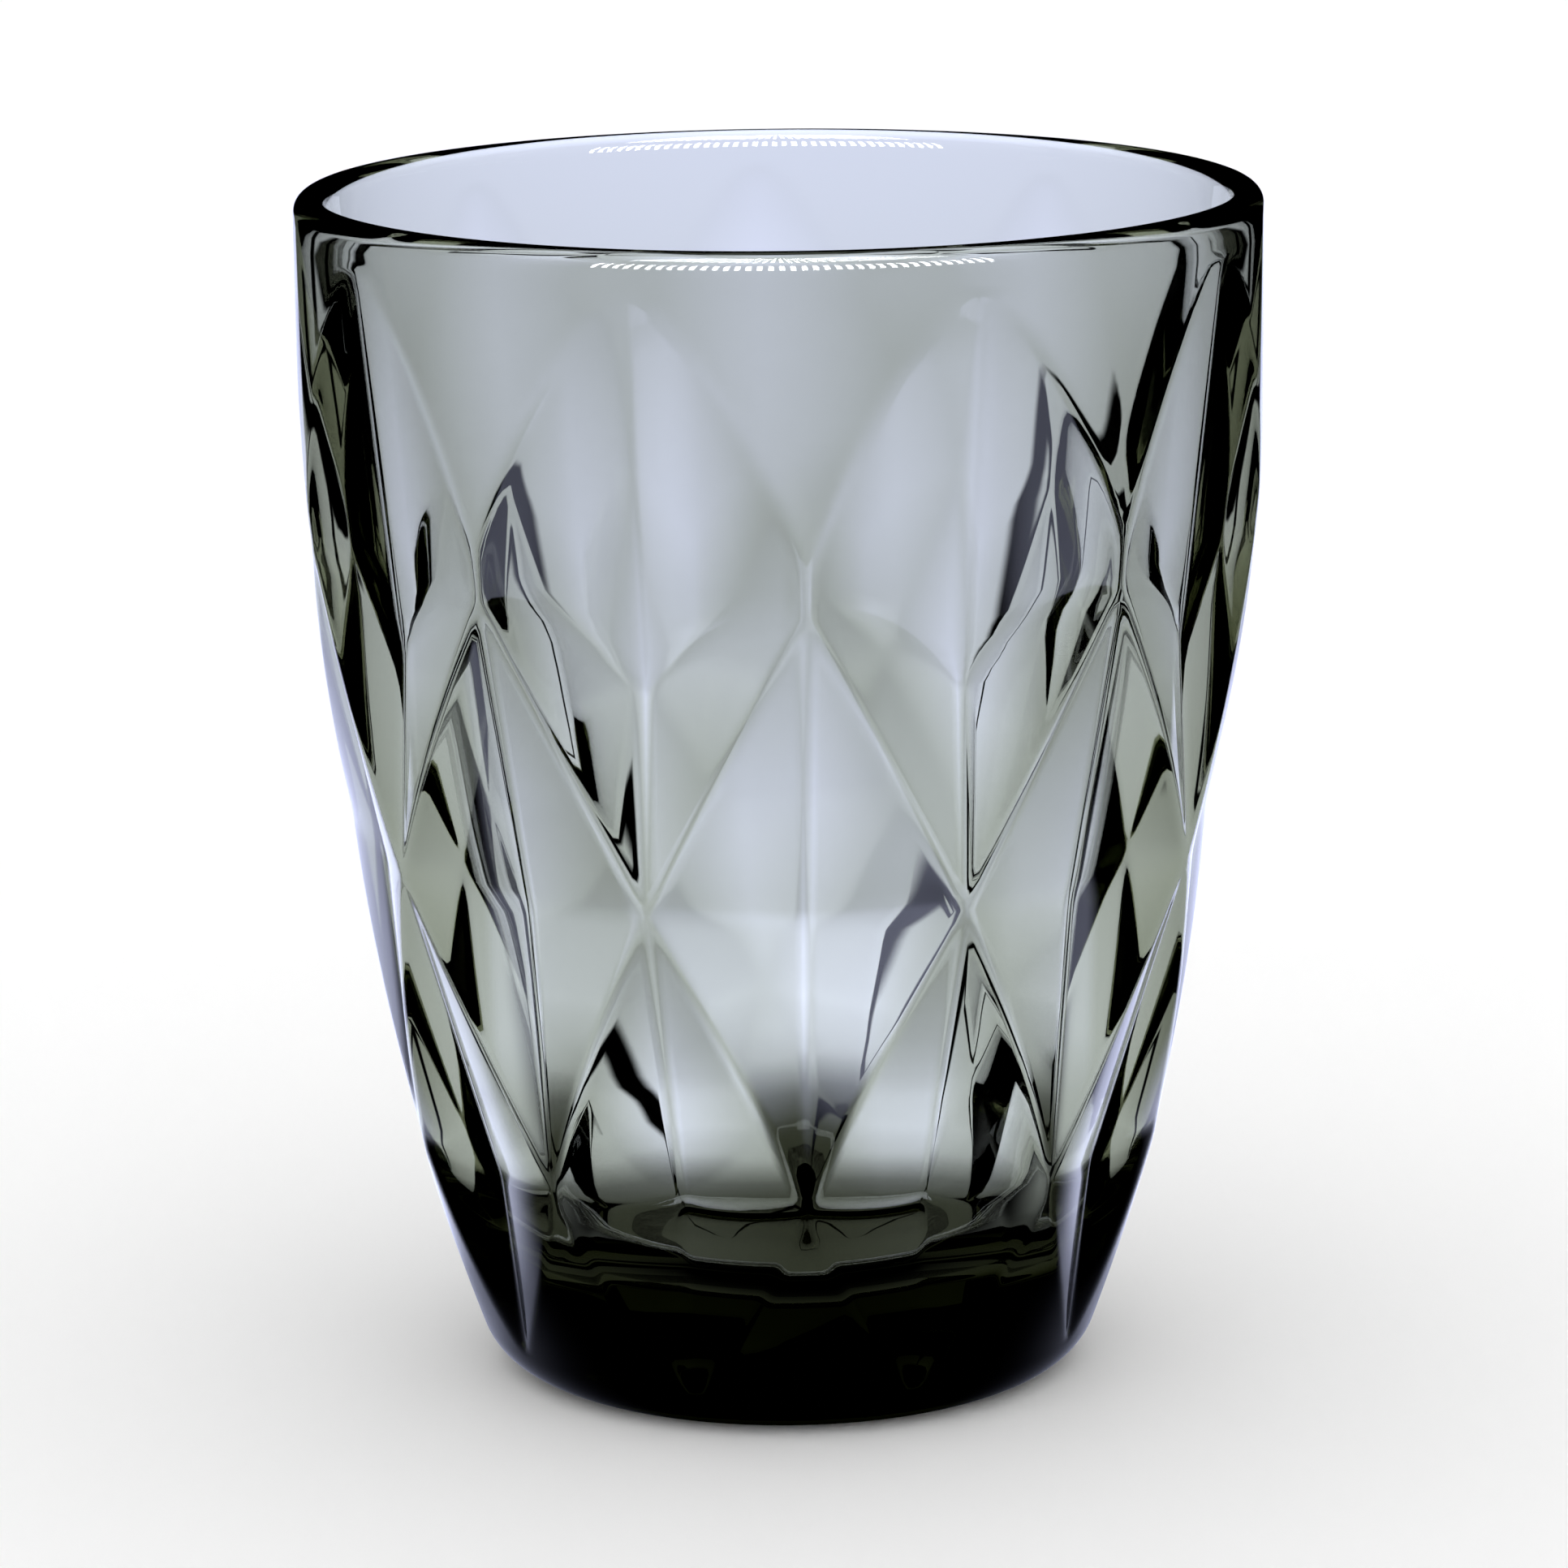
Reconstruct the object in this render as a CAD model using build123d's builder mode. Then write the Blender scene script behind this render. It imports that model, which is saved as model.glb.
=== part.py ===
from build123d import *
from math import cos, radians, sin
import os

# Smoke-tinted pressed-glass whiskey tumbler, one solid of glass.
# The origin is the centre of the foot, on the surface that the glass stands on. +Z points to the mouth.

os.makedirs("parts", exist_ok=True)

# Whole glass
height = 105.0
rim_radius = 42.0

# Outside: an upright band under the lip, then one long arc that draws in to the foot
band_bottom_z = 87.0
body_arc_radius = 245.0
foot_corner_radius = 5.8

# Lip: fully rounded over the thickness of the wall at the mouth
lip_thickness = 2.9

# Inside: a smooth drawn-in bore, as the plunger leaves it, over a thick base
bore_arc_radius = 420.0
bore_arc_top_z = 118.0
floor_z = 12.0
floor_corner_radius = 9.0

# Underside: a shallow dish, so that the glass bears on a flat ring
dish_radius = 17.0
dish_depth = 1.0

# Diamond pattern: three rows of nine hollow diamonds. Neighbouring rows are half a step apart.
diamond_count = 9
step_angle = 360.0 / diamond_count
half_step = step_angle / 2

# Heights of the rings on which the corners of the diamonds lie, from the foot up
bottom_corner_z = 4.2
lower_node_z = 22.5
middle_node_z = 49.0
upper_node_z = 75.1
top_corner_z = 101.2

# Deepest point of each row's diamonds: radius from the axis, and height
upper_hollow = (38.1, 68.0)
middle_hollow = (35.4, 48.0)
lower_hollow = (29.8, 21.5)

# The pressing leaves the corners of the diamonds this far inside the plain outside
node_inset = 0.15

# How far the outer rows' facets are carried on out of the glass: along the crease through their open
# corner, as a multiple of its length, and along the valley between two diamonds. The solid that they
# bound ends clear of the glass above and below.
crease_reach = 1.6
valley_reach = 35.0
cap_clearance = 10.0


def outside_radius(z):
    """Radius of the smooth outside at a height, before the diamonds are pressed in."""
    below_band = max(0.0, band_bottom_z - z)
    return rim_radius - body_arc_radius + (body_arc_radius**2 - below_band**2) ** 0.5


def bore_radius(z):
    """Radius of the bore at a height above the floor's corner."""
    below_top = bore_arc_top_z - z
    return bore_top_radius - bore_arc_radius + (bore_arc_radius**2 - below_top**2) ** 0.5


# The lip sits on the band, and its inner side meets the bore at this height
lip_radius = lip_thickness / 2
lip_z = height - lip_radius
mouth_radius = rim_radius - lip_thickness

# The bore's widest radius, so that the bore passes through the inner edge of the lip
bore_drop_at_lip = bore_arc_radius - (bore_arc_radius**2 - (bore_arc_top_z - lip_z) ** 2) ** 0.5
bore_top_radius = mouth_radius + bore_drop_at_lip

foot_radius = outside_radius(0)
bore_floor_radius = bore_radius(floor_z)


def direction(step):
    """Level unit vector away from the axis, at a number of half steps about it from the front, -Y."""
    angle = radians(step * half_step - 90)
    return Vector(cos(angle), sin(angle), 0)


def corner(step, z):
    """Corner of a diamond, where its ridges meet."""
    return direction(step) * (outside_radius(z) - node_inset) + Vector(0, 0, z)


def deepest(step, hollow):
    """Deepest point of a diamond, where its four facets meet."""
    return direction(step) * hollow[0] + Vector(0, 0, hollow[1])


def triangle(*points):
    """Flat face through three points."""
    return Face(Wire.make_polygon(points))


def diamond(step, top_z, side_z, bottom_z, hollow):
    """The four facets of one diamond."""
    middle = deepest(step, hollow)
    around = [corner(step, top_z), corner(step + 1, side_z), corner(step, bottom_z), corner(step - 1, side_z)]
    return [triangle(middle, around[i - 1], around[i]) for i in range(4)]


def open_diamond(step, shut_z, side_z, open_z, hollow, cap):
    """One diamond of an outer row, with its two outer facets carried on until they leave the glass.

    The open corner is the one at the lip or at the foot. Faces from the carried edges to the cap, a
    point on the axis, close that end of the solid.
    """
    middle = deepest(step, hollow)
    shut = corner(step, shut_z)
    crease_end = middle + (corner(step, open_z) - middle) * crease_reach
    outward = 1 if open_z > side_z else -1
    faces = []
    for side in (step - 1, step + 1):
        node = corner(side, side_z)
        normal = (crease_end - middle).cross(node - middle)
        slope = -outward * normal.Z / normal.dot(direction(side))
        valley_end = node + (direction(side) * slope + Vector(0, 0, outward)) * valley_reach
        faces.append(triangle(middle, shut, node))
        faces.append(triangle(middle, node, valley_end))
        faces.append(triangle(middle, valley_end, crease_end))
        faces.append(triangle(cap, valley_end, crease_end))
    return faces


# Cut block: a closed solid whose sides are the facets of all the diamonds
above = Vector(0, 0, height + cap_clearance)
below = Vector(0, 0, -cap_clearance)
facets = []
for even in range(0, 2 * diamond_count, 2):
    odd = even + 1
    facets += open_diamond(odd, middle_node_z, upper_node_z, top_corner_z, upper_hollow, above)
    facets += diamond(even, upper_node_z, middle_node_z, lower_node_z, middle_hollow)
    facets += open_diamond(odd, middle_node_z, lower_node_z, bottom_corner_z, lower_hollow, below)
cut_block = Solid(Shell(facets))

# Glass
with BuildPart() as tumbler_glass:
    # Blank: the section of the plain glass, turned about its axis
    with BuildSketch(Plane.XZ) as section:
        with BuildLine():
            Line((0, 0), (foot_radius, 0))
            RadiusArc((foot_radius, 0), (rim_radius, band_bottom_z), -body_arc_radius)
            Line((rim_radius, band_bottom_z), (rim_radius, lip_z))
            ThreePointArc((rim_radius, lip_z), (rim_radius - lip_radius, height), (mouth_radius, lip_z))
            RadiusArc((mouth_radius, lip_z), (bore_floor_radius, floor_z), bore_arc_radius)
            Line((bore_floor_radius, floor_z), (0, floor_z))
            Line((0, floor_z), (0, 0))
        make_face()
        foot_corner = section.vertices().sort_by_distance((foot_radius, 0))[0]
        fillet(foot_corner, foot_corner_radius)
        floor_corner = section.vertices().sort_by_distance((bore_floor_radius, floor_z))[0]
        fillet(floor_corner, floor_corner_radius)
    revolve(axis=Axis.Z)

    # Dish under the base, cut from a shallow dome
    dome_radius = (dish_radius**2 + dish_depth**2) / (2 * dish_depth)
    with Locations((0, 0, dish_depth - dome_radius)):
        Sphere(dome_radius, mode=Mode.SUBTRACT)

    # Diamonds: neighbouring ones share their edges, which are the raised ridges
    add(cut_block, mode=Mode.INTERSECT)

tumbler_glass.part.label = "tumbler_glass"
export_step(tumbler_glass.part, "parts/tumbler_glass.step")
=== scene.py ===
"""Smoke-tinted pressed-glass whiskey tumbler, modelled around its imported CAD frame.

All sizes are in metres and all angles in radians, unless a docstring says otherwise.
"""

import logging
import math
from dataclasses import dataclass, field
from enum import Enum
from typing import Any, Callable

import bpy
import numpy as np
from mathutils import Matrix, Vector

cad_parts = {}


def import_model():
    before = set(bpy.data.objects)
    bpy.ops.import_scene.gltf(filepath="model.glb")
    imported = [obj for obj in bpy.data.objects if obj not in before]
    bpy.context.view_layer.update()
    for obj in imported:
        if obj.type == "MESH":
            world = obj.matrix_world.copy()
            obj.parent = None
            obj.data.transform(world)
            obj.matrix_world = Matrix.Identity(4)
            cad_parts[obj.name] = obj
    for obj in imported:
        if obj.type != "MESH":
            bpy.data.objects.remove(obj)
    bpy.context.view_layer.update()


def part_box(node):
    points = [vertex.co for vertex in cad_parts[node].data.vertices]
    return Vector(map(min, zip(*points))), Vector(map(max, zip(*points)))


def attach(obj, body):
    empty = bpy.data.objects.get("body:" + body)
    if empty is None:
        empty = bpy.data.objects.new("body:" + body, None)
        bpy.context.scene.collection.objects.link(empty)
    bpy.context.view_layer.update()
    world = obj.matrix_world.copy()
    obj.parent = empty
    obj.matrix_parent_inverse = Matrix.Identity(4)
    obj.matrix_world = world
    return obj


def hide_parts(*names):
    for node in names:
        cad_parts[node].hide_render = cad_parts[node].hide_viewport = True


MM = 0.001
WELD = 0.01 * MM
NEAR = 0.1 * MM
FIT_ROUNDS = 20
# Below this a ray has made no bounce of the kind that is counted, and above it at least one
FIRST_BOUNCE = 0.5
log = logging.getLogger("tumbler")


def linear(hex_colour: str) -> tuple[float, float, float, float]:
    """Turns an sRGB hex colour into a linear one.

    Args:
        hex_colour: six hex digits after a hash, such as "#c0c4c8".

    Returns:
        Linear red, green and blue, with an alpha of 1.
    """
    values = [int(hex_colour[i : i + 2], 16) / 255 for i in (1, 3, 5)]
    curved = [v / 12.92 if v <= 0.04045 else ((v + 0.055) / 1.055) ** 2.4 for v in values]
    return (curved[0], curved[1], curved[2], 1.0)


def add_node(tree: bpy.types.NodeTree, kind: str, settings: dict[Any, Any], links: dict[Any, Any]) -> Any:
    """Adds one shader node with its settings, its input values and its input links.

    Args:
        tree: the node tree that takes the node.
        kind: the node's type name.
        settings: node properties by name, or input values by socket name or number.
        links: what feeds each input, by its name or number: an output socket, or a node for its first one.

    Returns:
        The new node.
    """
    node = tree.nodes.new(kind)
    for name, value in settings.items():
        if isinstance(name, int) or name in node.inputs:
            node.inputs[name].default_value = value
        else:
            setattr(node, name, value)
    for name, source in links.items():
        socket = source.outputs[0] if isinstance(source, bpy.types.Node) else source
        tree.links.new(socket, node.inputs[name])
    return node


def soft_area(tree: bpy.types.NodeTree, sides: tuple[tuple[Any, float, float], ...]) -> Any:
    """Draws an area with soft edges.

    Args:
        tree: the node tree that takes the nodes.
        sides: for each side, what is measured, its value at the side, and half the width of the soft edge,
            negative where the area lies below that value.

    Returns:
        A node whose first output is 1 inside the area and 0 outside.
    """
    area = None
    for source, side, soft in sides:
        step = add_node(
            tree,
            "ShaderNodeMapRange",
            {"interpolation_type": "SMOOTHSTEP", "From Min": side - soft, "From Max": side + soft},
            {"Value": source},
        )
        if area is not None:
            step = add_node(tree, "ShaderNodeMath", {"operation": "MULTIPLY"}, {0: area, 1: step})
        area = step
    return area


def edit(obj: bpy.types.Object) -> None:
    """Makes one object the only selected one and enters edit mode with nothing in it selected.

    Args:
        obj: the object to edit.
    """
    if bpy.context.mode != "OBJECT":
        bpy.ops.object.mode_set(mode="OBJECT")
    bpy.ops.object.select_all(action="DESELECT")
    obj.select_set(True)
    bpy.context.view_layer.objects.active = obj
    bpy.ops.object.mode_set(mode="EDIT")
    bpy.ops.mesh.select_mode(type="VERT")
    bpy.ops.mesh.select_all(action="DESELECT")


def places_of(mesh: bpy.types.Mesh) -> np.ndarray:
    """Reads the places of a mesh's vertices.

    Args:
        mesh: the mesh to read.

    Returns:
        An array with one row a vertex.
    """
    co = np.empty(len(mesh.vertices) * 3)
    mesh.vertices.foreach_get("co", co)
    return co.reshape(-1, 3)


def put_places(mesh: bpy.types.Mesh, co: np.ndarray) -> None:
    """Writes the places of a mesh's vertices back."""
    mesh.vertices.foreach_set("co", co.ravel())
    mesh.update()


def pick(obj: bpy.types.Object, keep: Callable[[Vector], bool]) -> int:
    """Selects, in edit mode, the vertices whose places pass a test, and nothing else.

    Args:
        obj: the object in edit mode.
        keep: takes a vertex's place and says whether it is wanted.

    Returns:
        How many vertices were selected.
    """
    bpy.ops.mesh.select_all(action="DESELECT")
    bpy.ops.object.mode_set(mode="OBJECT")
    for vertex in obj.data.vertices:
        vertex.select = keep(vertex.co)
    found = sum(vertex.select for vertex in obj.data.vertices)
    bpy.ops.object.mode_set(mode="EDIT")
    return found


@dataclass(frozen=True)
class SmokedGlass:
    """Soda-lime glass, coloured in the melt and fire-polished after pressing.

    The melt's colour gives a grey that deepens with the thickness of the glass, so thin walls look pale and
    the base nearly black. Fire polish gives a clear wet gloss over a surface that still rolls very slightly.

    Args:
        name, ior, roughness: the material's name, its refractive index and how rough its surface is.
        absorbed_per_m: how strongly red, green and blue light is absorbed in each metre.
        absorption_density: the density that the absorption is written with, above the largest of those.
        ripple_size, ripple_height: width and height of the surface's slight rolls.
        ripple_detail, ripple_fineness: how many finer rolls are added, and how strong they are.
    """

    name: str = "smoked_soda_lime_glass_fire_polished"
    ior: float = 1.52
    roughness: float = 0.0
    absorbed_per_m: tuple[float, float, float] = (118.0, 114.0, 152.0)
    absorption_density: float = 160.0
    ripple_size: float = 9 * MM
    ripple_height: float = 0.02 * MM
    ripple_detail: float = 1.0
    ripple_fineness: float = 0.4

    def make(self) -> bpy.types.Material:
        """Builds the material.

        Returns:
            The new material.
        """
        material = bpy.data.materials.new(self.name)
        material.use_nodes = True
        tree = material.node_tree
        tree.nodes.clear()
        place = add_node(tree, "ShaderNodeTexCoord", {}, {})
        ripple = add_node(
            tree,
            "ShaderNodeTexNoise",
            {
                "Scale": 1 / self.ripple_size,
                "Detail": self.ripple_detail,
                "Roughness": self.ripple_fineness,
            },
            {"Vector": place.outputs["Object"]},
        )
        bump = add_node(
            tree,
            "ShaderNodeBump",
            {"Strength": 1.0, "Distance": self.ripple_height},
            {"Height": ripple.outputs["Fac"]},
        )
        glass = add_node(
            tree,
            "ShaderNodeBsdfPrincipled",
            {
                "Base Color": (1.0, 1.0, 1.0, 1.0),
                "Roughness": self.roughness,
                "IOR": self.ior,
                "Transmission Weight": 1.0,
            },
            {"Normal": bump.outputs["Normal"]},
        )
        kept = [1 - absorbed / self.absorption_density for absorbed in self.absorbed_per_m]
        melt = add_node(
            tree,
            "ShaderNodeVolumeAbsorption",
            {"Color": (*kept, 1.0), "Density": self.absorption_density},
            {},
        )
        add_node(
            tree,
            "ShaderNodeOutputMaterial",
            {},
            {"Surface": glass.outputs["BSDF"], "Volume": melt.outputs["Volume"]},
        )
        return material


@dataclass(frozen=True)
class Hollow:
    """One row of hollow diamonds.

    Args:
        shift: half steps between the front of the glass and the row's first diamond.
        top_z, side_z, bottom_z: heights of a diamond's corners.
        radius, z: the place where its four facets meet, from the axis and from the foot.
        bow_above, bow_below: how far its upper and lower facets bow out from flat, towards the curve of the
            plain outside, from 0 to 1.
    """

    shift: int
    top_z: float
    side_z: float
    bottom_z: float
    radius: float
    z: float
    bow_above: float
    bow_below: float


class Row(Enum):
    """The three rows of diamonds, from the lip down."""

    UPPER = Hollow(1, 101.2 * MM, 75.1 * MM, 49.0 * MM, 38.1 * MM, 68.0 * MM, 0.4, 1.0)
    MIDDLE = Hollow(0, 75.1 * MM, 49.0 * MM, 22.5 * MM, 35.4 * MM, 48.0 * MM, 1.0, 1.0)
    LOWER = Hollow(1, 49.0 * MM, 22.5 * MM, 4.2 * MM, 29.8 * MM, 21.5 * MM, 1.0, 0.75)


@dataclass
class Tumbler:
    """The tumbler: one pressing of glass, with its diamonds outside and a smooth bore inside.

    Args:
        height, rim_radius: the glass's outer size.
        band_bottom_z, body_arc_radius, foot_corner_radius: the plain outside, from the lip to the foot.
        lip_thickness, bore_arc_radius, bore_arc_top_z, floor_z, floor_corner_radius: the lip and the bowl.
        dish_radius, dish_depth, ring_round_dish: the hollow under the foot and the least width of the ring.
        node_inset: how far the diamonds' corners lie inside the plain outside.
        diamonds: how many diamonds there are in a row.
        cuts: how many parts each edge between two corners is divided into.
        crease_hold: how far the middle row's creases are held lower while the faces are cut.
        polish, polish_rings: the radius over which edges are rounded, and the rings of places averaged in it.
        band_points, lip_points, bore_points, floor_corner_points, foot_corner_points: points in the section.
        floor_shares, dish_shares: places of the flat floor's and the dish's points, as shares of the radius.
        finish: the glass's material.
    """

    height: float
    rim_radius: float
    band_bottom_z: float = 87.0 * MM
    body_arc_radius: float = 245.0 * MM
    foot_corner_radius: float = 5.8 * MM
    lip_thickness: float = 2.9 * MM
    bore_arc_radius: float = 420.0 * MM
    bore_arc_top_z: float = 118.0 * MM
    floor_z: float = 12.0 * MM
    floor_corner_radius: float = 9.0 * MM
    dish_radius: float = 17.0 * MM
    dish_depth: float = 1.0 * MM
    node_inset: float = 0.15 * MM
    diamonds: int = 9
    cuts: int = 24
    crease_hold: float = 1 * MM
    polish: float = 0.65 * MM
    polish_rings: tuple[tuple[float, int], ...] = ((0.5, 6), (1.0, 10))
    band_points: int = 4
    lip_points: int = 17
    bore_points: int = 34
    floor_corner_points: int = 26
    floor_shares: tuple[float, ...] = (0.75, 0.5, 0.25, 0.0)
    foot_corner_points: int = 18
    dish_shares: tuple[float, ...] = (1.0, 0.92, 0.8, 0.6, 0.4, 0.2, 0.0)
    ring_round_dish: float = 2 * MM
    finish: SmokedGlass = field(default_factory=SmokedGlass)

    def plain_radius(self, z: Any) -> Any:
        """Radius of the outside at a height before the diamonds are pressed, for a number or an array."""
        below = np.maximum(self.band_bottom_z - z, 0)
        return self.rim_radius - self.body_arc_radius + np.sqrt(self.body_arc_radius**2 - below**2)

    def bore_radius(self, z: float) -> float:
        """Radius of the bore.

        Args:
            z: a height above the floor's corner.

        Returns:
            The radius at that height.
        """
        lip_z = self.height - self.lip_thickness / 2
        widest = self.rim_radius - self.lip_thickness - self.bore_rise(lip_z)
        return widest + self.bore_rise(z)

    def bore_rise(self, z: float) -> float:
        """How far the bore's arc has drawn in at a height, as a negative number."""
        return math.sqrt(self.bore_arc_radius**2 - (self.bore_arc_top_z - z) ** 2) - self.bore_arc_radius

    def facet(self, hollow: Hollow, end_z: float, turn: np.ndarray, z: np.ndarray) -> np.ndarray:
        """Radius of one pair of facets, carried on without end.

        A flat facet and one that runs straight on the unrolled outside are mixed, so that the facets bow
        out a little, as the pressing leaves them.

        Args:
            hollow: the row's diamond.
            end_z: height of the diamond's corner on the pair's side, top or bottom.
            turn: angles from the diamond's middle, all positive, in radians.
            z: heights.

        Returns:
            The radius at each angle and height.
        """
        half = math.pi / self.diamonds
        bow = hollow.bow_above if end_z > hollow.z else hollow.bow_below
        side_radius = self.plain_radius(hollow.side_z) - self.node_inset
        end_radius = self.plain_radius(end_z) - self.node_inset
        rise = (end_radius - hollow.radius) / (end_z - hollow.z)
        spread = (side_radius - hollow.radius - rise * (hollow.side_z - hollow.z)) / half
        unrolled = hollow.radius + spread * turn + rise * (z - hollow.z)
        middle = np.array([hollow.radius, 0, hollow.z])
        end = np.array([end_radius, 0, end_z])
        side = np.array([side_radius * math.cos(half), side_radius * math.sin(half), hollow.side_z])
        normal = np.cross(end - middle, side - middle)
        across = normal[0] * np.cos(turn) + normal[1] * np.sin(turn)
        flat = (normal @ middle - normal[2] * z) / across
        return (1 - bow) * flat + bow * unrolled

    def sharp_radius(self, angle: np.ndarray, z: np.ndarray) -> np.ndarray:
        """Radius of the outside, with its edges still sharp.

        Args:
            angle: angles about the axis from the front, in radians.
            z: heights.

        Returns:
            The radius at each angle and height.
        """
        step = 2 * math.pi / self.diamonds
        radius = self.plain_radius(z)
        for row in Row:
            hollow = row.value
            away = angle / step - hollow.shift / 2
            turn = np.abs(away - np.round(away)) * step
            upper = self.facet(hollow, hollow.top_z, turn, z)
            lower = self.facet(hollow, hollow.bottom_z, turn, z)
            radius = np.minimum(radius, np.maximum(upper, lower))
        return radius

    def pressed_radius(self, angle: np.ndarray, z: np.ndarray) -> np.ndarray:
        """Radius of the outside with its edges rounded by fire polish, as an average over a small disc.

        Args:
            angle: angles about the axis from the front, in radians.
            z: heights.

        Returns:
            The radius at each angle and height.
        """
        total = self.sharp_radius(angle, z)
        count = 1
        for ring, places in self.polish_rings:
            for k in range(places):
                turn = 2 * math.pi * k / places
                aside = self.polish * ring * math.cos(turn) / self.rim_radius
                total = total + self.sharp_radius(angle + aside, z + self.polish * ring * math.sin(turn))
                count += 1
        return total / count

    def facet_skin(self) -> bpy.types.Object:
        """Builds the field of diamonds: a tube of eighteen sides, cut along its ridges and divided finely.

        Returns:
            The object, still a straight tube, with a line of vertices along every ridge and crease.
        """
        rings = [Row.LOWER.value.bottom_z, Row.LOWER.value.side_z, Row.MIDDLE.value.side_z]
        rings += [Row.UPPER.value.side_z, Row.UPPER.value.top_z]
        first = rings[1] - rings[0]
        bpy.ops.object.select_all(action="DESELECT")
        bpy.ops.mesh.primitive_cylinder_add(
            vertices=2 * self.diamonds,
            radius=self.rim_radius,
            depth=first,
            end_fill_type="NOTHING",
            location=(0, 0, rings[0] + first / 2),
        )
        skin = bpy.context.active_object
        bpy.ops.object.transform_apply(location=True, rotation=True, scale=True)
        edit(skin)
        for low, high in zip(rings[1:], rings[2:]):
            pick(skin, lambda co: abs(co.z - low) < MM)
            bpy.ops.mesh.extrude_region_move(TRANSFORM_OT_translate={"value": (0, 0, high - low)})
        for row in Row:
            self.shift_creases(skin, row, row.value.side_z, row.value.z - row.value.side_z)
        # Between the two lower rows both diagonals of a face are as long as each other, so the middle row's
        # creases are held lower while the faces are cut, which leaves the ridge the longer one.
        self.shift_creases(skin, Row.MIDDLE, Row.MIDDLE.value.z, -self.crease_hold)
        self.cut_ridges(skin)
        self.shift_creases(skin, Row.MIDDLE, Row.MIDDLE.value.z - self.crease_hold, self.crease_hold)
        bpy.ops.mesh.select_all(action="SELECT")
        bpy.ops.mesh.subdivide(number_cuts=self.cuts - 1)
        bpy.ops.object.mode_set(mode="OBJECT")
        return skin

    def shift_creases(self, skin: bpy.types.Object, row: Row, z: float, rise: float) -> None:
        """Moves the vertices where the creases of a row's diamonds meet up or down.

        Args:
            skin: the tube, in edit mode.
            row: the row of diamonds.
            z: the height at which those vertices are.
            rise: how far they go up.
        """
        pick(skin, lambda co: abs(co.z - z) < NEAR and self.in_column(co, row.value.shift))
        bpy.ops.transform.translate(value=(0, 0, rise))

    def in_column(self, co: Vector, shift: int) -> bool:
        """Says whether a place lies on an upright line through the middles of a row's diamonds."""
        steps = self.front_angle(co.x, co.y) * self.diamonds / math.pi
        return round(steps) % 2 == shift

    @staticmethod
    def front_angle(x: float, y: float) -> float:
        """Angle about the axis from the front, -Y, in radians from 0 to a full turn."""
        return math.atan2(x, -y) % (2 * math.pi)

    def cut_ridges(self, skin: bpy.types.Object) -> None:
        """Cuts each four-sided face of the tube along the ridge that crosses it.

        Args:
            skin: the tube, in edit mode.
        """
        bpy.ops.mesh.select_mode(type="FACE")
        for longest in (True, False):
            bpy.ops.object.mode_set(mode="OBJECT")
            for face in skin.data.polygons:
                in_field = face.center.z < Row.UPPER.value.side_z - MM
                face.select = len(face.vertices) == 4 and in_field == longest
            bpy.ops.object.mode_set(mode="EDIT")
            method = "LONGEST_DIAGONAL" if longest else "SHORTEST_DIAGONAL"
            bpy.ops.mesh.quads_convert_to_tris(quad_method=method, ngon_method="BEAUTY")
        bpy.ops.mesh.select_mode(type="VERT")

    def mouth_profile(self) -> list[tuple[float, float]]:
        """Draws the section from the diamonds over the lip and down the bore to the floor's middle.

        Returns:
            Radius and height of each point.
        """
        lip = self.lip_thickness / 2
        lip_z = self.height - lip
        top_z = Row.UPPER.value.top_z
        points = [(self.rim_radius, z) for z in np.linspace(top_z, lip_z, self.band_points)]
        for turn in np.linspace(0, math.pi, self.lip_points)[1:]:
            points.append((self.rim_radius - lip + lip * math.cos(turn), lip_z + lip * math.sin(turn)))
        corner = self.floor_corner_radius
        centre_r, arc_start = self.floor_corner_place()
        centre_z = self.floor_z + corner
        join_z = centre_z - corner * math.sin(arc_start)
        points += [(self.bore_radius(z), z) for z in np.linspace(lip_z, join_z, self.bore_points)[1:]]
        for turn in np.linspace(arc_start, math.pi / 2, self.floor_corner_points)[1:]:
            points.append((centre_r + corner * math.cos(turn), centre_z - corner * math.sin(turn)))
        points += [(centre_r * share, self.floor_z) for share in self.floor_shares]
        return points

    def floor_corner_place(self) -> tuple[float, float]:
        """Finds the arc that rounds the bore into the floor.

        Returns:
            The radius at which the arc is centred, and the angle below level at which it starts.
        """
        corner = self.floor_corner_radius
        centre_z = self.floor_z + corner
        start = 0.0
        for _ in range(FIT_ROUNDS):
            join_z = centre_z - corner * math.sin(start)
            start = math.asin((self.bore_arc_top_z - join_z) / self.bore_arc_radius)
        return self.bore_radius(centre_z - corner * math.sin(start)) - corner * math.cos(start), start

    def foot_profile(self) -> list[tuple[float, float]]:
        """Draws the section from the diamonds round the foot's corner and under the dish to the axis.

        Returns:
            Radius and height of each point.
        """
        corner = self.foot_corner_radius
        slope = math.asin(self.band_bottom_z / self.body_arc_radius)
        for _ in range(FIT_ROUNDS):
            join_z = corner * (1 - math.sin(slope))
            slope = math.asin((self.band_bottom_z - join_z) / self.body_arc_radius)
        centre_r = float(self.plain_radius(join_z)) - corner * math.cos(slope)
        points = [(float(self.plain_radius(Row.LOWER.value.bottom_z)), Row.LOWER.value.bottom_z)]
        for turn in np.linspace(slope, math.pi / 2, self.foot_corner_points):
            points.append((centre_r + corner * math.cos(turn), corner - corner * math.sin(turn)))
        points.append((self.dish_radius + self.ring_round_dish, 0.0))
        dome = (self.dish_radius**2 + self.dish_depth**2) / (2 * self.dish_depth)
        for share in self.dish_shares:
            across = self.dish_radius * share
            points.append((across, self.dish_depth - dome + math.sqrt(dome**2 - across**2)))
        return points

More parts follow.
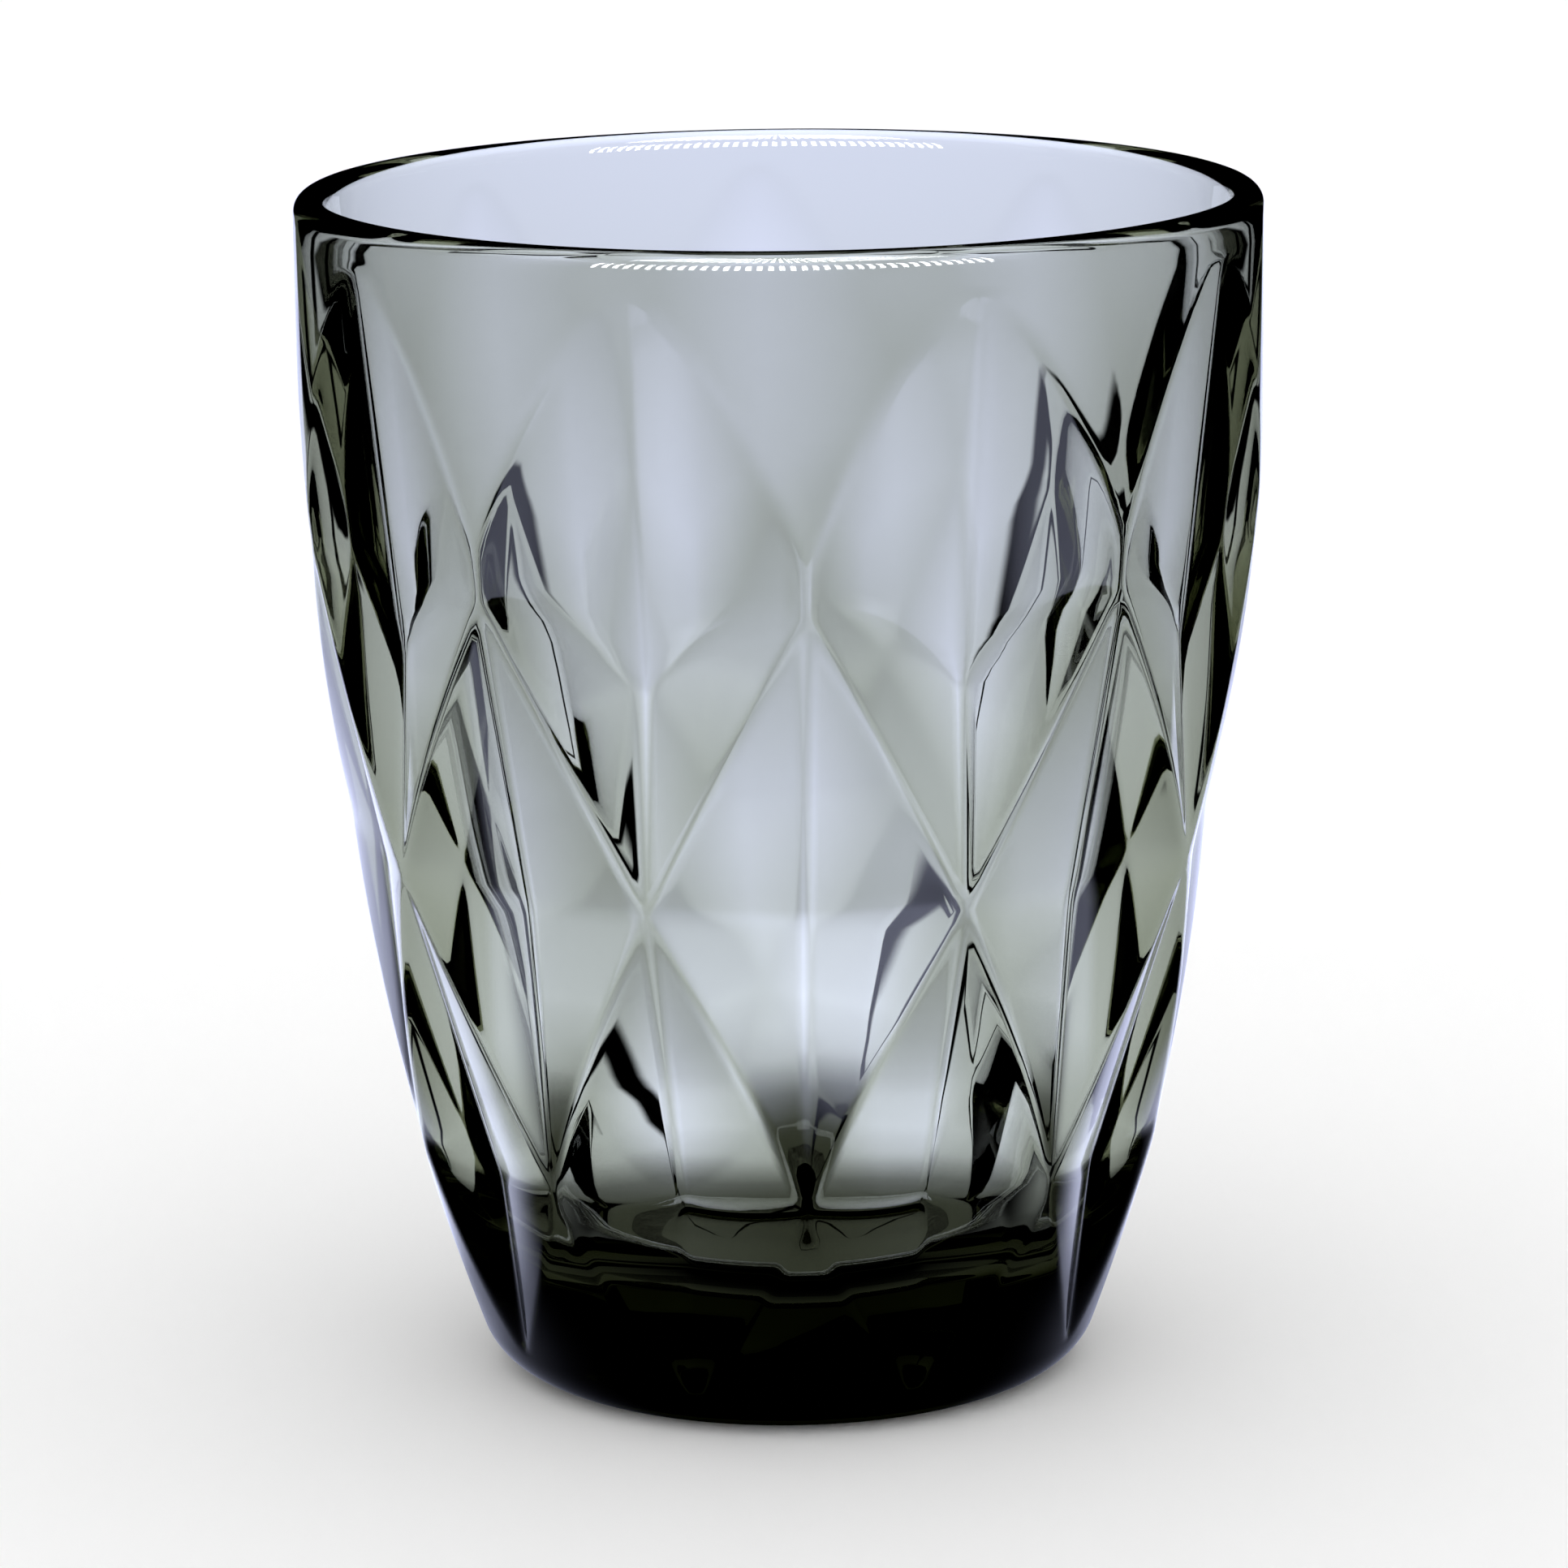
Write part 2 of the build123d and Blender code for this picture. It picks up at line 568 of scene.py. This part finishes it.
    def spun(self, name: str, profile: list[tuple[float, float]]) -> bpy.types.Object:
        """Draws a profile by extruding one vertex from point to point, and spins it about the axis.

        Args:
            name: the new object's name.
            profile: radius and height of each point.

        Returns:
            The spun object.
        """
        bpy.ops.object.select_all(action="DESELECT")
        bpy.ops.mesh.primitive_plane_add(size=MM, location=(0, 0, 0))
        obj = bpy.context.active_object
        obj.name = name
        edit(obj)
        bpy.ops.mesh.select_all(action="SELECT")
        bpy.ops.mesh.merge(type="CENTER")
        bpy.ops.transform.translate(value=(0, -profile[0][0], profile[0][1]))
        for (r0, z0), (r1, z1) in zip(profile, profile[1:]):
            bpy.ops.mesh.extrude_region_move(TRANSFORM_OT_translate={"value": (0, r0 - r1, z1 - z0)})
        bpy.ops.mesh.select_all(action="SELECT")
        bpy.ops.mesh.spin(
            steps=2 * self.diamonds * self.cuts,
            angle=2 * math.pi,
            center=(0, 0, 0),
            axis=(0, 0, 1),
        )
        bpy.ops.object.mode_set(mode="OBJECT")
        return obj

    def press(self, glass: bpy.types.Object) -> None:
        """Moves the outside's vertices in or out to the pressed and polished shape.

        The tube's sides are flat, so even steps along a side are first made even steps of the angle.

        Args:
            glass: the tube, with its ridges cut and its faces divided.
        """
        co = places_of(glass.data)
        half = math.pi / self.diamonds
        angle = np.arctan2(co[:, 0], -co[:, 1])
        column = (np.floor(angle / half) + 0.5) * half
        across = np.tan(angle - column) / math.tan(half / 2)
        in_tube = self.on_tube(co)
        angle = np.where(in_tube, column + across * half / 2, angle)
        radius = self.pressed_radius(angle, co[:, 2])
        co[in_tube, 0] = (radius * np.sin(angle))[in_tube]
        co[in_tube, 1] = -(radius * np.cos(angle))[in_tube]
        put_places(glass.data, co)

    def on_tube(self, co: np.ndarray) -> np.ndarray:
        """Says which places belong to the field of diamonds, as a mask."""
        low, high = Row.LOWER.value.bottom_z, Row.UPPER.value.top_z
        return (co[:, 2] > low - WELD) & (co[:, 2] < high + WELD)

    def build(self) -> bpy.types.Object:
        """Builds the whole glass as one closed mesh and dresses it.

        Returns:
            The glass.
        """
        skin = self.facet_skin()
        self.press(skin)
        mouth = self.spun("mouth", self.mouth_profile())
        foot = self.spun("foot", self.foot_profile())
        bpy.ops.object.select_all(action="DESELECT")
        for part in (skin, mouth, foot):
            part.select_set(True)
        bpy.context.view_layer.objects.active = skin
        bpy.ops.object.join()
        self.settle_seams(skin)
        edit(skin)
        bpy.ops.mesh.select_all(action="SELECT")
        bpy.ops.mesh.remove_doubles(threshold=WELD)
        bpy.ops.mesh.normals_make_consistent(inside=False)
        bpy.ops.object.mode_set(mode="OBJECT")
        bpy.ops.object.shade_smooth()
        skin.name = "glass_body"
        skin.data.name = "glass_body"
        skin.data.materials.clear()
        skin.data.materials.append(self.finish.make())
        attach(skin, "root")
        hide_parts("tumbler_glass")
        return skin

    def settle_seams(self, glass: bpy.types.Object) -> None:
        """Puts the rings where the diamonds meet the spun parts onto the plain outside, so that they weld.

        Args:
            glass: the joined parts.
        """
        co = places_of(glass.data)
        radius = np.hypot(co[:, 0], co[:, 1])
        for seam in (Row.LOWER.value.bottom_z, Row.UPPER.value.top_z):
            plain = float(self.plain_radius(seam))
            ring = (np.abs(co[:, 2] - seam) < WELD) & (np.abs(radius - plain) < MM)
            co[ring, :2] *= (plain / radius[ring])[:, None]
        put_places(glass.data, co)


@dataclass(frozen=True)
class PaintedLightTable:
    """White table top under the glass, with a pool of light painted into its glow.

    Matt white card, which gives the eye a plain pale floor with a soft shadow. To the glass it is the only
    light, a painted glow, and what a ray sees of it depends on how the ray got there. A ray that only
    passes through sees the whole painted pool. One that the glass has also reflected inside sees one sheet
    of it. One that glances off the outside sees a wedge behind the glass, a strip in front and two flanks.
    The rest is dark and draws the dark lines in the glass. Under the foot the glow is dimmed as a painted
    shadow of the glass.

    Args:
        name, paper, paper_roughness: the material's name, the card's colour and how rough it is.
        pool: painted light level by distance from the middle, low under the foot as the glass's painted
            shadow.
            strength, white: how strong the painted light is, and its colour.
        sheet_left, sheet_right, sheet_front, edge: the sheet's sides, and half the width of soft edges.
        wedge_tip, wedge_slope: where the wedge starts, and its half width for each metre behind that.
        strip_far, strip_near, strip_half_width, strip_level: the strip in front, and its level.
        flank_turn, flank_half_width, flank_edge: the flanks' middle, half width and soft edge, as angles
            about the axis from straight behind.
        flank_near, flank_far, flank_level: the flanks' distances from the middle, and their level.
        seam_turn, seam_half_width, seam_edge: the two painted dark gaps in the light behind, as angles,
        and the soft part of each gap as a share of its half width.
    """

    name: str = "white_card_with_painted_light"
    paper: str = "#fbfbfb"
    paper_roughness: float = 0.8
    # Painted light: low under the foot as the glass's painted shadow, brightest in a ring just beyond it
    pool: tuple[tuple[float, float], ...] = (
        (0.0, 0.22),
        (0.038, 0.22),
        (0.056, 0.72),
        (0.09, 0.86),
        (0.14, 0.78),
        (0.26, 0.6),
        (0.7, 0.58),
        (1.0, 0.56),
    )
    strength: float = 2.5
    white: tuple[float, float, float] = (0.69, 0.735, 1.0)
    sheet_left: float = -0.21
    sheet_right: float = 0.22
    sheet_front: float = -0.01
    edge: float = 0.012
    wedge_tip: float = -0.045
    wedge_slope: float = 0.9
    strip_far: float = -0.3
    strip_near: float = -0.1
    strip_half_width: float = 0.06
    strip_level: float = 1.8
    flank_turn: float = math.radians(130.5)
    flank_half_width: float = math.radians(10.5)
    flank_edge: float = math.radians(2.5)
    flank_near: float = 0.11
    flank_far: float = 0.3
    flank_level: float = 1.2
    seam_turn: float = math.radians(27)
    seam_half_width: float = math.radians(2.0)
    seam_edge: float = 0.4

    def glow(self, tree: bpy.types.NodeTree, away: Any) -> Any:
        """Makes the level of the painted pool of light, dimmed under the foot as painted shadow of the glass.

        Args:
            tree: the node tree that takes the node.
            away: the distance from the middle.

        Returns:
            The node with the level.
        """
        ramp = add_node(tree, "ShaderNodeValToRGB", {}, {"Fac": away})
        stops = ramp.color_ramp.elements
        while len(stops) < len(self.pool):
            stops.new(1.0)
        for stop, (distance, level) in zip(stops, self.pool):
            stop.position = distance
            stop.color = (level, level, level, 1.0)
        return ramp

    def behind(self, tree: bpy.types.NodeTree, along: Any, aside: Any) -> Any:
        """Makes the painted wedge of light behind the glass.

        Args:
            tree: the node tree that takes the nodes.
            along, aside: the distances back from the axis and to either side of it.

        Returns:
            The node with the level.
        """
        depth = add_node(tree, "ShaderNodeMath", {"operation": "SUBTRACT", 1: self.wedge_tip}, {0: along})
        half = add_node(tree, "ShaderNodeMath", {"operation": "MULTIPLY", 1: self.wedge_slope}, {0: depth})
        inside = add_node(tree, "ShaderNodeMath", {"operation": "SUBTRACT"}, {0: half, 1: aside})
        return soft_area(tree, ((inside, 0.0, self.edge),))

    def in_front(self, tree: bpy.types.NodeTree, along: Any, aside: Any, turn: Any, away: Any) -> Any:
        """Makes the painted strip and the two painted flanks of light in front of the glass.

        Args:
            tree: the node tree that takes the nodes.
            along, aside: the distances back from the axis and to either side of it.
            turn, away: the angle about the axis from straight behind, and the distance from the middle.

        Returns:
            The node with the level.
        """
        past = add_node(tree, "ShaderNodeMath", {"operation": "SUBTRACT", 1: self.flank_turn}, {0: turn})
        off_flank = add_node(tree, "ShaderNodeMath", {"operation": "ABSOLUTE"}, {0: past})
        flank_sides = (
            (off_flank, self.flank_half_width, -self.flank_edge),
            (away, self.flank_near, self.edge),
            (away, self.flank_far, -self.edge),
        )
        strip_sides = (
            (along, self.strip_far, self.edge),
            (along, self.strip_near, -self.edge),
            (aside, self.strip_half_width, -self.edge),
        )
        areas = ((flank_sides, self.flank_level), (strip_sides, self.strip_level))
        flanks, strip = (
            add_node(tree, "ShaderNodeMath", {"operation": "MULTIPLY", 1: level}, {0: soft_area(tree, sides)})
            for sides, level in areas
        )
        return add_node(tree, "ShaderNodeMath", {"operation": "MAXIMUM"}, {0: flanks, 1: strip})

    def seen(self, tree: bpy.types.NodeTree, ray: Any, place: Any) -> Any:
        """Makes the share of the painted light that each ray sees, from how it got there and where it lands.

        Args:
            tree: the node tree that takes the nodes.
            ray: the node that tells a ray's history.
            place: the place on the table.

        Returns:
            The node with the share.
        """
        axes = add_node(tree, "ShaderNodeSeparateXYZ", {}, {"Vector": place})
        across, along = axes.outputs["X"], axes.outputs["Y"]
        away = add_node(tree, "ShaderNodeVectorMath", {"operation": "LENGTH"}, {0: place}).outputs["Value"]
        aside = add_node(tree, "ShaderNodeMath", {"operation": "ABSOLUTE"}, {0: across})
        angle = add_node(tree, "ShaderNodeMath", {"operation": "ARCTAN2"}, {0: across, 1: along})
        turn = add_node(tree, "ShaderNodeMath", {"operation": "ABSOLUTE"}, {0: angle})

        # Painted areas of light on the table: the sheet, the wedge behind, and the strip and flanks in front
        sheet_sides = (
            (across, self.sheet_left, self.edge),
            (across, self.sheet_right, -self.edge),
            (along, self.sheet_front, self.edge),
        )
        sheet = soft_area(tree, sheet_sides)
        wedge = self.behind(tree, along, aside)
        wedge = add_node(tree, "ShaderNodeMath", {"operation": "MULTIPLY"}, {0: wedge, 1: sheet})
        front = self.in_front(tree, along, aside, turn, away)
        outside = add_node(tree, "ShaderNodeMath", {"operation": "MAXIMUM"}, {0: wedge, 1: front})

        reflected, refracted = ray.outputs["Glossy Depth"], ray.outputs["Transmission Depth"]
        passed = add_node(tree, "ShaderNodeMath", {"operation": "LESS_THAN", 1: FIRST_BOUNCE}, {0: reflected})
        entered = add_node(
            tree, "ShaderNodeMath", {"operation": "GREATER_THAN", 1: FIRST_BOUNCE}, {0: refracted}
        )
        turned = add_node(
            tree, "ShaderNodeMapRange", {}, {"Value": entered, "To Min": outside, "To Max": sheet}
        )
        light = add_node(tree, "ShaderNodeMath", {"operation": "MAXIMUM"}, {0: passed, 1: turned})

        # Painted dark gaps in the light behind, seen only by rays that entered the glass
        past = add_node(tree, "ShaderNodeMath", {"operation": "SUBTRACT", 1: self.seam_turn}, {0: turn})
        off_seam = add_node(tree, "ShaderNodeMath", {"operation": "ABSOLUTE"}, {0: past})
        clear = soft_area(tree, ((off_seam, self.seam_half_width, self.seam_edge * self.seam_half_width),))
        painted_seam_gaps = add_node(tree, "ShaderNodeMapRange", {"To Min": 1.0}, {"Value": entered, "To Max": clear})
        return add_node(tree, "ShaderNodeMath", {"operation": "MULTIPLY"}, {0: light, 1: painted_seam_gaps})

    def make(self) -> bpy.types.Material:
        """Builds the material.

        Returns:
            The new material.
        """
        material = bpy.data.materials.new(self.name)
        material.use_nodes = True
        tree = material.node_tree
        tree.nodes.clear()
        ray = add_node(tree, "ShaderNodeLightPath", {}, {})
        place = add_node(tree, "ShaderNodeTexCoord", {}, {}).outputs["Object"]
        away = add_node(tree, "ShaderNodeVectorMath", {"operation": "LENGTH"}, {0: place}).outputs["Value"]
        level = add_node(
            tree,
            "ShaderNodeMath",
            {"operation": "MULTIPLY"},
            {0: self.glow(tree, away), 1: self.seen(tree, ray, place)},
        )
        strength = add_node(tree, "ShaderNodeMath", {"operation": "MULTIPLY", 1: self.strength}, {0: level})
        # What rays through or off the glass see here is a painted glow, painted light and shade on the table,
        # not a lamp
        light = add_node(tree, "ShaderNodeEmission", {"Color": (*self.white, 1.0)}, {"Strength": strength})
        card = add_node(
            tree,
            "ShaderNodeBsdfPrincipled",
            {"Base Color": linear(self.paper), "Roughness": self.paper_roughness},
            {},
        )
        by_glass = add_node(
            tree,
            "ShaderNodeMath",
            {"operation": "MAXIMUM"},
            {0: ray.outputs["Is Transmission Ray"], 1: ray.outputs["Is Glossy Ray"]},
        )
        mix = add_node(tree, "ShaderNodeMixShader", {}, {0: by_glass, 1: card, 2: light})
        add_node(tree, "ShaderNodeOutputMaterial", {}, {"Surface": mix})
        return material


@dataclass(frozen=True)
class Room:
    """The room: soft white light on the table, and dark where the glass looks above the table.

    Two rows of small lamps in front, one high and one low, are there for what glances off the glass. They
    draw the lines of bright dots along the lip.

    Args:
        light: the strength of the soft light.
        lamp_rows: the lowest and highest angle above level of each row.
        lamp_spread, lamp_pitch: how far the rows reach to either side of the front, and the step in them.
        lamp_lit_part, lamp_strength: the lit share of each step, and the lamps' strength.
    """

    light: float = 1.08
    lamp_rows: tuple[tuple[float, float], ...] = (
        (math.radians(48), math.radians(78)),
        (math.radians(2), math.radians(26)),
    )
    lamp_spread: float = math.radians(48)
    lamp_pitch: float = math.radians(2.6)
    lamp_lit_part: float = 0.5
    lamp_strength: float = 22.0

    def lamps(self, tree: bpy.types.NodeTree) -> Any:
        """Makes the two rows of lamps.

        Args:
            tree: the node tree that takes the nodes.

        Returns:
            The node with the light's strength in each direction.
        """
        place = add_node(tree, "ShaderNodeTexCoord", {}, {})
        way = add_node(tree, "ShaderNodeSeparateXYZ", {}, {"Vector": place.outputs["Generated"]})
        height = add_node(tree, "ShaderNodeMath", {"operation": "ARCSINE"}, {0: way.outputs["Z"]})
        ahead = add_node(tree, "ShaderNodeMath", {"operation": "MULTIPLY", 1: -1.0}, {0: way.outputs["Y"]})
        turn = add_node(tree, "ShaderNodeMath", {"operation": "ARCTAN2"}, {0: way.outputs["X"], 1: ahead})
        rows = None
        for low, high in self.lamp_rows:
            row = add_node(
                tree,
                "ShaderNodeMath",
                {"operation": "COMPARE", 1: (low + high) / 2, 2: (high - low) / 2},
                {0: height},
            )
            if rows is not None:
                row = add_node(tree, "ShaderNodeMath", {"operation": "ADD"}, {0: rows, 1: row})
            rows = row
        spread = add_node(
            tree, "ShaderNodeMath", {"operation": "COMPARE", 1: 0.0, 2: self.lamp_spread}, {0: turn}
        )
        count = add_node(tree, "ShaderNodeMath", {"operation": "DIVIDE", 1: self.lamp_pitch}, {0: turn})
        phase = add_node(tree, "ShaderNodeMath", {"operation": "FRACT"}, {0: count})
        lit = add_node(
            tree, "ShaderNodeMath", {"operation": "LESS_THAN", 1: self.lamp_lit_part}, {0: phase}
        )
        for part in (spread, rows):
            lit = add_node(tree, "ShaderNodeMath", {"operation": "MULTIPLY"}, {0: lit, 1: part})
        return add_node(tree, "ShaderNodeMath", {"operation": "MULTIPLY", 1: self.lamp_strength}, {0: lit})

    def make(self) -> bpy.types.World:
        """Builds the world.

        Returns:
            The new world.
        """
        world = bpy.data.worlds.new("room")
        world.use_nodes = True
        tree = world.node_tree
        tree.nodes.clear()
        ray = add_node(tree, "ShaderNodeLightPath", {}, {})
        refracted = ray.outputs["Transmission Depth"]
        by_glass = add_node(
            tree,
            "ShaderNodeMath",
            {"operation": "MAXIMUM"},
            {0: ray.outputs["Is Transmission Ray"], 1: ray.outputs["Is Glossy Ray"]},
        )
        outside = add_node(
            tree, "ShaderNodeMath", {"operation": "LESS_THAN", 1: FIRST_BOUNCE}, {0: refracted}
        )
        lamps = add_node(
            tree, "ShaderNodeMath", {"operation": "MULTIPLY"}, {0: self.lamps(tree), 1: outside}
        )
        strength = add_node(
            tree, "ShaderNodeMapRange", {"To Min": self.light}, {"Value": by_glass, "To Max": lamps}
        )
        light = add_node(
            tree,
            "ShaderNodeBackground",
            {"Color": (1.0, 1.0, 1.0, 1.0)},
            {"Strength": strength},
        )
        add_node(tree, "ShaderNodeOutputWorld", {}, {"Surface": light})
        return world


@dataclass
class Studio:
    """Plain pale floor, with painted light and shade that only the glass sees, and soft light.

    Args:
        floor_size: the length of the floor's sides.
        table: the floor's surface, white card to the eye and painted light and shade to the glass.
        room: the light round it.
    """

    floor_size: float = 8.0
    table: PaintedLightTable = field(default_factory=PaintedLightTable)
    room: Room = field(default_factory=Room)

    def build(self) -> bpy.types.Object:
        """Builds the floor and the light.

        Returns:
            The floor.
        """
        bpy.ops.object.select_all(action="DESELECT")
        bpy.ops.mesh.primitive_plane_add(size=self.floor_size, location=(0, 0, 0))
        floor = bpy.context.active_object
        floor.name = "floor"
        floor.data.materials.append(self.table.make())
        log.info("%s: %.1f m square", floor.name, self.floor_size)
        bpy.context.scene.world = self.room.make()
        return floor


@dataclass
class View:
    """The camera: a long lens, low down and a little to the left of the front.

    Args:
        distance, aim_z: how far it is from the point on the axis that it looks at, and that point's height.
        elevation, azimuth, roll: its angles, in degrees.
        lens, sensor: focal length and sensor width, in millimetres.
        clip_start: the nearest distance that it shows.
    """

    distance: float = 0.578
    elevation: float = 12.68
    azimuth: float = -2.75
    roll: float = 0.57
    aim_z: float = 51.86 * MM
    lens: float = 150.1
    sensor: float = 36.0
    clip_start: float = 0.01

    def build(self) -> bpy.types.Object:
        """Places the camera and makes it the scene's.

        Returns:
            The camera.
        """
        data = bpy.data.cameras.new("camera")
        data.lens = self.lens
        data.sensor_width = self.sensor
        data.clip_start = self.clip_start
        camera = bpy.data.objects.new("camera", data)
        bpy.context.scene.collection.objects.link(camera)
        turn = (
            Matrix.Rotation(math.radians(self.azimuth), 4, "Z")
            @ Matrix.Rotation(math.radians(90 - self.elevation), 4, "X")
        )
        roll = Matrix.Rotation(math.radians(-self.roll), 4, "Z")
        aim = Matrix.Translation((0, 0, self.aim_z))
        camera.matrix_world = aim @ turn @ Matrix.Translation((0, 0, self.distance)) @ roll
        bpy.context.scene.camera = camera
        log.info("%s: %.1f mm lens, %.3f m from what it looks at", camera.name, self.lens, self.distance)
        return camera


def main() -> None:
    """Builds the glass, the studio and the camera around the frame."""
    logging.basicConfig(level=logging.INFO, format="%(name)s: %(message)s")
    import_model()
    low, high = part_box("tumbler_glass")
    tumbler = Tumbler(height=high[2] - low[2], rim_radius=(high[0] - low[0]) / 2)
    glass = tumbler.build()
    log.info("%s: %d vertices, %d faces", glass.name, len(glass.data.vertices), len(glass.data.polygons))
    Studio().build()
    View().build()
    bpy.context.scene.view_settings.view_transform = "Standard"


if __name__ == "__main__":
    main()
